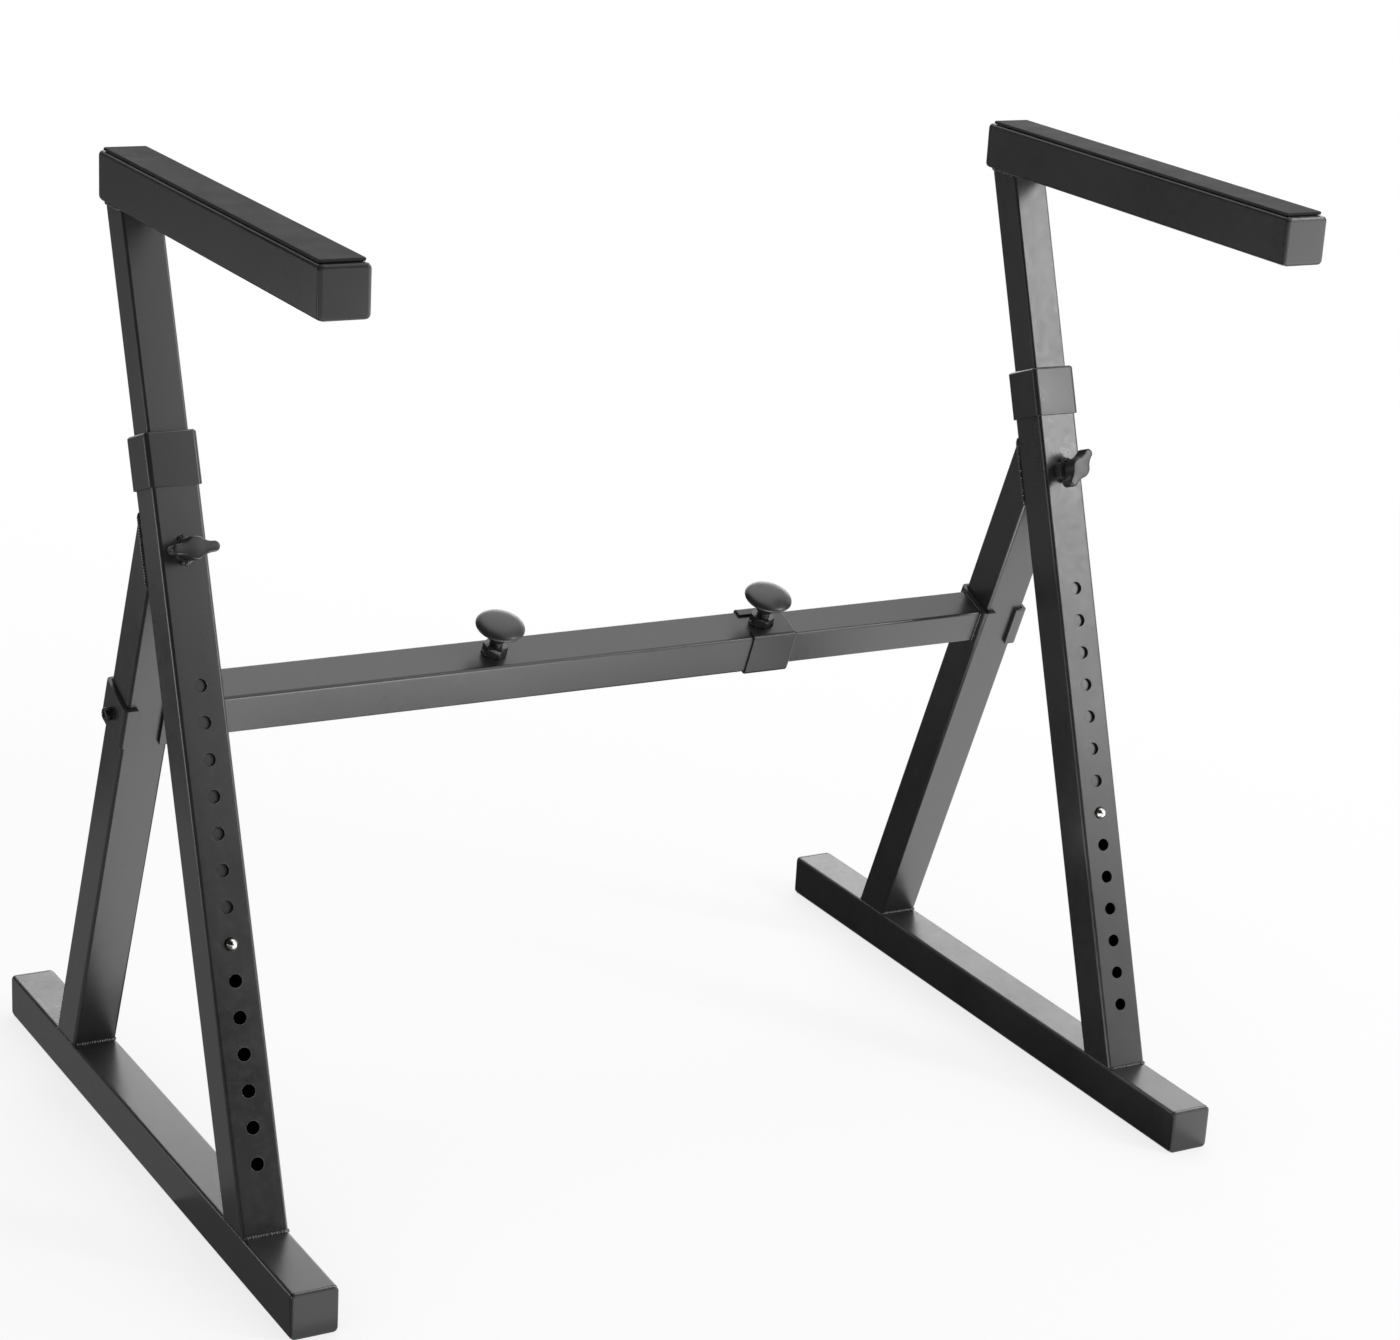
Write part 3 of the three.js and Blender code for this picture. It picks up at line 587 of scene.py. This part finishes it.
def lathe(bm, profile, sides, place=HERE):
    """A profile of (radius, height) turned round z.

    It starts and ends on the axis, or ends where it starts.
    """
    rings = []
    for radius, height in profile:
        if radius == 0:
            rings.append([bm.verts.new(place @ Vector((0, 0, height)))])
            continue
        turns = [math.tau * i / sides for i in range(sides)]
        ring = [Vector((radius * math.cos(t), radius * math.sin(t), height)) for t in turns]
        rings.append([bm.verts.new(place @ point) for point in ring])
    for low, high in zip(rings, rings[1:]):
        for i in range(sides):
            j = (i + 1) % sides
            corners = [low[i % len(low)], low[j % len(low)]]
            corners += [high[j % len(high)], high[i % len(high)]]
            bm.faces.new(list(dict.fromkeys(corners)))


def ellipse(centre, reach, start, end, steps):
    """Points (x, y) on part of an ellipse, from an angle to another, in degrees."""
    x, y = centre
    wide, tall = reach
    turns = [math.radians(start + (end - start) * i / steps) for i in range(steps + 1)]
    return [(x + wide * math.cos(t), y + tall * math.sin(t)) for t in turns]


def arc(centre, radius, start, end, steps):
    return ellipse(centre, (radius, radius), start, end, steps)


# ---------------------------------------------------------------- welds

RIPPLE = 2.0 * MM  # from one ripple of a weld to the next
RIPPLE_STEPS = 7
RIPPLE_RISE = 0.12  # a ripple's height, as a share of the bead's radius
BEAD_STEPS = 8  # at least, on the shortest bead
BEAD_SIDES = 10
BEAD_DRIFT = 0.12  # how much thicker or thinner a ripple may be, as the same share
BEAD_END = 0.35  # thickness at an end, as a share
BEAD_TAPER = 2.5  # length of a tapering end, in radii


def weld_bead(bm, start, end, radius, chance):
    """A straight bead of overlapping ripples between two points, thinner at its ends."""
    along = end - start
    length = along.length
    axis = along / length
    across = axis.orthogonal().normalized()
    other = axis.cross(across)
    count = max(BEAD_STEPS, round(length / RIPPLE * RIPPLE_STEPS))
    drift = [chance.uniform(-BEAD_DRIFT, BEAD_DRIFT) for _ in range(count // RIPPLE_STEPS + 3)]
    rings = []
    for i in range(count + 1):
        where = length * i / count
        ripple = abs(math.sin(math.pi * where / RIPPLE))
        taper = min(1.0, BEAD_END + min(where, length - where) / (BEAD_TAPER * radius))
        full = 1 - RIPPLE_RISE + RIPPLE_RISE * ripple
        size = radius * (full + drift[i // RIPPLE_STEPS]) * taper
        middle = start + axis * where
        ring = []
        for k in range(BEAD_SIDES):
            turn = math.tau * k / BEAD_SIDES
            out = across * math.cos(turn) + other * math.sin(turn)
            ring.append(bm.verts.new(middle + out * size))
        rings.append(ring)
    skin_rings(bm, rings)


def weld_loop(bm, corners, radii, chance):
    """Beads along the sides of a closed outline, each side with its own radius."""
    for i, radius in enumerate(radii):
        weld_bead(bm, corners[i], corners[(i + 1) % len(corners)], radius, chance)


def base_outline(middle, front, lean, width=TUBE, level=TUBE):
    """The corners of a leaning tube's cut end on a level face, from its front left corner."""
    left = middle - width / 2
    right = middle + width / 2
    back = front + width / math.cos(lean)
    corners = [(left, front), (right, front), (right, back), (left, back)]
    return [Vector((x, y, level)) for x, y in corners]


FILLET = 1.9 * MM  # radius of a bead in a corner
FLUSH = 0.9 * MM  # radius of a bead between flush faces
JOINT_SIDE = 1.5 * MM  # radius of the beads beside the joint of leg and brace
SADDLE_BEAD = 0.9 * MM


def frame_welds(side, material, body):
    """The welds of a foot, leg and brace."""
    chance = random.Random(side)
    middle = SIDES[side] * SPACING / 2
    bm = bmesh.new()
    base = (FILLET, FLUSH, FILLET, FLUSH)
    weld_loop(bm, base_outline(middle, LEG_FRONT_Y, LEG_LEAN), base, chance)
    weld_loop(bm, base_outline(middle, BRACE_FRONT_Y, BRACE_LEAN), base, chance)
    frame = leg_frame(side)
    low = JOINT_UP - TUBE / math.sin(LEG_LEAN + BRACE_LEAN)
    x = TUBE / 2
    corners = [(-x, low), (x, low), (x, JOINT_UP), (-x, JOINT_UP)]
    joint = [frame @ Vector((x, TUBE, z)) for x, z in corners]
    weld_loop(bm, joint, (FILLET, JOINT_SIDE, FILLET, JOINT_SIDE), chance)
    finish_piece(f"{side}_frame_welds", bm, HERE, material, body)


def arm_welds(side, material):
    """The weld round the post's top, under the arm."""
    chance = random.Random(side + "arm")
    inset = (TUBE - SLIDER) / 2
    up = (ARM_UNDERSIDE - TUBE + inset * math.sin(LEG_LEAN)) / math.cos(LEG_LEAN)
    front = LEG_FRONT_Y + up * math.sin(LEG_LEAN) + inset * math.cos(LEG_LEAN)
    bm = bmesh.new()
    outline = base_outline(SIDES[side] * SPACING / 2, front, LEG_LEAN, SLIDER, ARM_UNDERSIDE)
    weld_loop(bm, outline, (FILLET,) * 4, chance)
    body = f"{side}_post_and_arm"
    finish_piece(f"{side}_arm_welds", bm, HERE, material, body)


def bar_welds(side, material):
    """The weld round the crossbar's end, on the saddle."""
    chance = random.Random(side + "bar")
    reach = (TUBE if side == "left" else SLIDER) / 2
    frame = bar_frame()
    x = SIDES[side] * BAR_END
    square = [(-reach, -reach), (reach, -reach), (reach, reach), (-reach, reach)]
    bm = bmesh.new()
    weld_loop(bm, [frame @ Vector((x, y, z)) for y, z in square], (SADDLE_BEAD,) * 4, chance)
    finish_piece(f"{side}_saddle_welds", bm, HERE, material, f"{side}_frame")


TACK_RADIUS = 3.2 * MM
TACK_REACH = 3.6 * MM  # half its length
TACK_LIFT = 0.8 * MM


def nut_tacks(name, frame, body, material):
    """Two blobs of weld between a nut and the tube, on opposite sides along the frame's y."""
    chance = random.Random(name)
    bm = bmesh.new()
    along = frame.to_3x3() @ Vector((TACK_REACH, 0, 0))
    for way in (-1, 1):
        middle = frame @ Vector((0, way * NUT_FLATS / 2, TACK_LIFT))
        weld_bead(bm, middle - along, middle + along, TACK_RADIUS, chance)
    finish_piece(name, bm, HERE, material, body)


# ---------------------------------------------------------------- threads, rims, knobs and buttons

THREAD_SIDES = 36
THREAD_STEPS = 8  # to each turn of the thread


def threaded_screw(name, frame, top, material, body, replaced):
    """An M10 screw whose thread winds all the way up."""
    radius = SCREW_DIAMETER / 2
    steps = round((top - SCREW_LOW) / THREAD_PITCH * THREAD_STEPS)
    bm = bmesh.new()
    rings = []
    for i in range(steps + 1):
        height = SCREW_LOW + (top - SCREW_LOW) * i / steps
        point = min(0.0, height - SCREW_LOW - SCREW_POINT)
        ring = []
        for k in range(THREAD_SIDES):
            phase = (height / THREAD_PITCH - k / THREAD_SIDES) % 1.0
            groove = max(0.0, 1 - abs(phase - 0.5) / THREAD_GROOVE) * THREAD_DEPTH
            size = min(radius - groove, radius + point)
            turn = math.tau * k / THREAD_SIDES
            ring.append(bm.verts.new((size * math.cos(turn), size * math.sin(turn), height)))
        rings.append(ring)
    skin_rings(bm, rings)
    finish_piece(name, bm, frame, material, body, replaced)


LIP_OUTSIDE = 0.35 * MM  # how far a hole's lip reaches round the hole
LIP_INSIDE = 0.12 * MM  # and into it
LIP_ROUND = 0.22 * MM
LIP_PROUD = 0.03 * MM  # how far it stands out of the wall
LIP_SLOPE = 0.12 * MM
LIP_SUNK = 0.1 * MM
MERGE_REACH = 0.001 * MM


def hole_edges(side, material, body):
    """The rolled-over edge and the wall of every lock hole."""
    outer = HOLE_DIAMETER / 2 + LIP_OUTSIDE
    inner = HOLE_DIAMETER / 2 - LIP_INSIDE
    profile = [(outer, -TUBE_WALL), (outer, -LIP_SUNK), (outer - LIP_SLOPE, LIP_PROUD)]
    profile += arc((inner + LIP_ROUND, LIP_PROUD - LIP_ROUND), LIP_ROUND, 90, 180, 5)
    profile += [(inner, -TUBE_WALL), (outer, -TUBE_WALL)]
    bm = bmesh.new()
    for i in range(HOLE_COUNT):
        lathe(bm, profile, 40, leg_face_frame(side, FIRST_HOLE + i * HOLE_PITCH))
    bmesh.ops.remove_doubles(bm, verts=bm.verts, dist=MERGE_REACH)
    finish_piece(f"{side}_hole_edges", bm, HERE, material, body)


WING_FILLET_STEPS = 14


def wing_outline(inset):
    """The wing seen along its screw, shrunk by an inset: round lobes, fillets and the hub."""
    hub = WING_HUB / 2
    tip = WING_TIP / 2
    reach = WING_SPAN / 2 - tip
    root = (hub * math.cos(WING_ROOT), hub * math.sin(WING_ROOT))
    bend = (hub - tip * math.sin(WING_ROOT)) / math.cos(WING_ROOT)
    quarter = arc((reach, 0), tip, 0, 90, 10)
    start = (reach, tip)
    for i in range(1, WING_FILLET_STEPS + 1):
        t = i / WING_FILLET_STEPS
        x = (1 - t) ** 2 * start[0] + 2 * t * (1 - t) * bend + t * t * root[0]
        y = (1 - t) ** 2 * start[1] + 2 * t * (1 - t) * tip + t * t * root[1]
        quarter.append((x, y))
    quarter += arc((0, 0), hub, math.degrees(WING_ROOT), 90, 8)[1:]
    half = quarter + [(-x, y) for x, y in reversed(quarter[:-1])]
    whole = half + [(x, -y) for x, y in reversed(half[1:-1])]
    shrunk = []
    for i, point in enumerate(whole):
        before = Vector(whole[i - 1])
        after = Vector(whole[(i + 1) % len(whole)])
        along = (after - before).normalized()
        shrunk.append((point[0] - along.y * inset, point[1] + along.x * inset))
    return shrunk


def bored_neck(neck, lift, edge, bore_edge):
    """The profile of a knob's blind bore and of the neck's end, as far as the neck's side."""
    bore = KNOB_BORE / 2
    bore_top = lift + KNOB_BORE_DEPTH
    inside = [(0, bore_top), (bore, bore_top), (bore, lift + bore_edge)]
    end = [(bore + bore_edge, lift), (neck - edge, lift)]
    return inside + end + [(neck, lift + edge)]


WING_EDGE_STEPS = 6
WING_NECK_EDGE = 0.5 * MM
WING_BORE_EDGE = 0.3 * MM


def wing_knob(side, material):
    """The two-lobed knob, its edges rolled, on a tapering neck with a blind bore."""
    levels = []
    for i in range(WING_EDGE_STEPS + 1):
        turn = math.pi / 2 * i / WING_EDGE_STEPS
        inset = WING_EDGE * (1 - math.sin(turn))
        levels.append((inset, WING_LIFT + WING_EDGE * (1 - math.cos(turn))))
    top = WING_LIFT + WING_DEPTH
    levels += [(inset, top - (height - WING_LIFT)) for inset, height in reversed(levels)]
    bm = bmesh.new()
    outlines = [(wing_outline(inset), height) for inset, height in levels]
    rings = [[bm.verts.new((x, y, height)) for x, y in outline] for outline, height in outlines]
    skin_rings(bm, rings)
    neck = WING_NECK / 2
    profile = bored_neck(neck, WING_NECK_LIFT, WING_NECK_EDGE, WING_BORE_EDGE)
    profile += [(WING_HUB / 2 - WING_EDGE, WING_LIFT + WING_EDGE), (0, WING_LIFT + WING_EDGE)]
    lathe(bm, profile, 48)
    frame = wing_frame(side) @ Matrix.Rotation(WING_TURN[side], 4, "Z")
    body = f"{side}_wing_clamp"
    finish_piece(f"{side}_wing", bm, frame, material, body, f"{side}_wing_knob")


HEAD_NECK_EDGE = 0.6 * MM
HEAD_BORE_EDGE = 0.4 * MM
HEAD_DOME_START = 4  # degrees, which leaves the parting line's step round the rim


def mushroom_knob(side, material):
    """The lens-shaped head on its neck, with the mould's parting line round the rim."""
    rim = HEAD_DIAMETER / 2
    neck = HEAD_NECK / 2
    neck_turn = math.degrees(math.acos(HEAD_NECK / HEAD_DIAMETER))
    profile = bored_neck(neck, HEAD_NECK_LIFT, HEAD_NECK_EDGE, HEAD_BORE_EDGE)
    profile += ellipse((0, HEAD_RIM), (rim, HEAD_UNDERSIDE), -neck_turn, 0, 20)
    profile += ellipse((0, HEAD_RIM), (rim, HEAD_DOME), HEAD_DOME_START, 90, 24)[:-1]
    profile += [(0, HEAD_RIM + HEAD_DOME)]
    bm = bmesh.new()
    lathe(bm, profile, 96)
    body = f"crossbar_{side}_clamp"
    node = f"crossbar_{side}_knob"
    finish_piece(f"{side}_head", bm, knob_frame(side), material, body, node)


BUTTON_EDGE = 0.25 * MM


def snap_button(side, material):
    """The domed pin in the lock hole."""
    radius = BUTTON_DIAMETER / 2
    flange = BUTTON_FLANGE / 2
    profile = [(0, BUTTON_BACK), (flange - BUTTON_EDGE, BUTTON_BACK)]
    profile += [(flange, BUTTON_BACK + BUTTON_EDGE), (flange, BUTTON_SEAT), (radius, BUTTON_SEAT)]
    profile += arc((0, BUTTON_PROUD - radius), radius, 0, 90, 14)[:-1] + [(0, BUTTON_PROUD)]
    bm = bmesh.new()
    lathe(bm, profile, 48)
    frame = leg_face_frame(side, BUTTON_UP)
    body = f"{side}_button"
    finish_piece(f"{side}_lock_pin", bm, frame, material, body, f"{side}_snap_button")


# ---------------------------------------------------------------- dressing the CAD nodes

WELD_REACH = 0.01 * MM
FLAT_ANGLE = math.radians(0.5)  # faces that meet at less than this are one face
SHARP_ANGLE = math.radians(35)  # edges sharper than this get rounded


def soften(obj, width):
    """Merges the faces' triangles, rounds sharp edges and keeps flat faces flat."""
    obj.data.shade_smooth()
    weld = obj.modifiers.new("weld", "WELD")
    weld.merge_threshold = WELD_REACH
    flat = obj.modifiers.new("flat", "DECIMATE")
    flat.decimate_type = "DISSOLVE"
    flat.angle_limit = FLAT_ANGLE
    bevel = obj.modifiers.new("edges", "BEVEL")
    bevel.width = width
    bevel.segments = 2
    bevel.limit_method = "ANGLE"
    bevel.angle_limit = SHARP_ANGLE
    bevel.miter_outer = "MITER_ARC"
    normals = obj.modifiers.new("normals", "WEIGHTED_NORMAL")
    normals.weight = 100


EDGE_WIDTH = {
    "black_steel": 0.25 * MM,
    "black_plastic": 0.4 * MM,
    "black_rubber": 0.3 * MM,
    "zinc": 0.1 * MM,
    "nickel": 0.1 * MM,
    "black_oxide": 0.2 * MM,
}


def dress(frame, materials):
    """Gives each CAD node the material of its record slot and soft edges."""
    slots = {sub["node"]: sub["material_slot"] for sub in frame["record"]["subparts"]}
    for name, obj in frame["nodes"].items():
        slot = slots[name]
        obj.data.materials.clear()
        obj.data.materials.append(materials[slot])
        soften(obj, EDGE_WIDTH[slot])


def dress_fasteners(nodes):
    """The weld nuts get the pooled coat, and the clamp bolts' rims are painted pale: rubbed-through
    metal together with a painted highlight.
    """
    nuts = coated_metal("coated_nut", 0.12, 0.2, 0.16 * MM)
    # the bolts' bright rim is partly rubbed-through metal and partly a painted highlight round the
    # head
    bolts = black_oxide("rubbed_and_highlit_bolt", 1.1 * MM, 0.75)
    for name, obj in nodes.items():
        if name.endswith("_nut") and not name.endswith("clamp_nut"):
            obj.material_slots[0].material = nuts
        if name.endswith("_clamp_bolt"):
            obj.material_slots[0].material = bolts


def add_welds(side, welds):
    """The welds of one side frame and the tacks of one wing nut and one crossbar nut."""
    body = f"{side}_frame"
    frame_welds(side, welds, body)
    arm_welds(side, welds)
    bar_welds(side, welds)
    nut_tacks(f"{side}_nut_tacks", wing_frame(side), body, welds)
    across = knob_frame(side) @ Matrix.Rotation(math.pi / 2, 4, "Z")
    nut_tacks(f"bar_{side}_nut_tacks", across, "left_frame", welds)


def add_screws(side, material):
    """A wing screw and a crossbar screw, up to the ends of their knobs' bores."""
    top = WING_NECK_LIFT + KNOB_BORE_DEPTH - SEAT_GAP
    wing = f"{side}_wing"
    frame = wing_frame(side)
    threaded_screw(f"{wing}_thread", frame, top, material, f"{wing}_clamp", f"{wing}_screw")
    top = HEAD_NECK_LIFT + KNOB_BORE_DEPTH - SEAT_GAP
    bar = f"crossbar_{side}"
    frame = knob_frame(side)
    threaded_screw(f"{bar}_thread", frame, top, material, f"{bar}_clamp", f"{bar}_screw")


def main():
    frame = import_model()
    bpy.context.scene.view_settings.view_transform = "Standard"
    add_camera()
    add_floor()
    add_world()
    add_boards()
    add_rim_card()
    add_curtain()
    add_lights()
    materials = {
        "black_steel": powder_coat(),
        "black_plastic": moulded_plastic(),
        "black_rubber": rubber(),
        "zinc": plated("zinc_plate", 0.62, 0.01, 0.22),
        "nickel": plated("nickel_plate", 0.78, 0.03, 0.12),
        "black_oxide": black_oxide("black_oxide", 0.4 * MM, 0.25),
    }
    dress(frame, materials)
    dress_fasteners(frame["nodes"])
    welds = coated_metal("coated_weld", 0.18, 0.32, 0.12 * MM)
    for side in SIDES:
        add_welds(side, welds)
        hole_edges(side, materials["black_steel"], f"{side}_frame")
        wing_knob(side, materials["black_plastic"])
        mushroom_knob(side, materials["black_plastic"])
        snap_button(side, materials["nickel"])
        add_screws(side, materials["black_oxide"])


main()
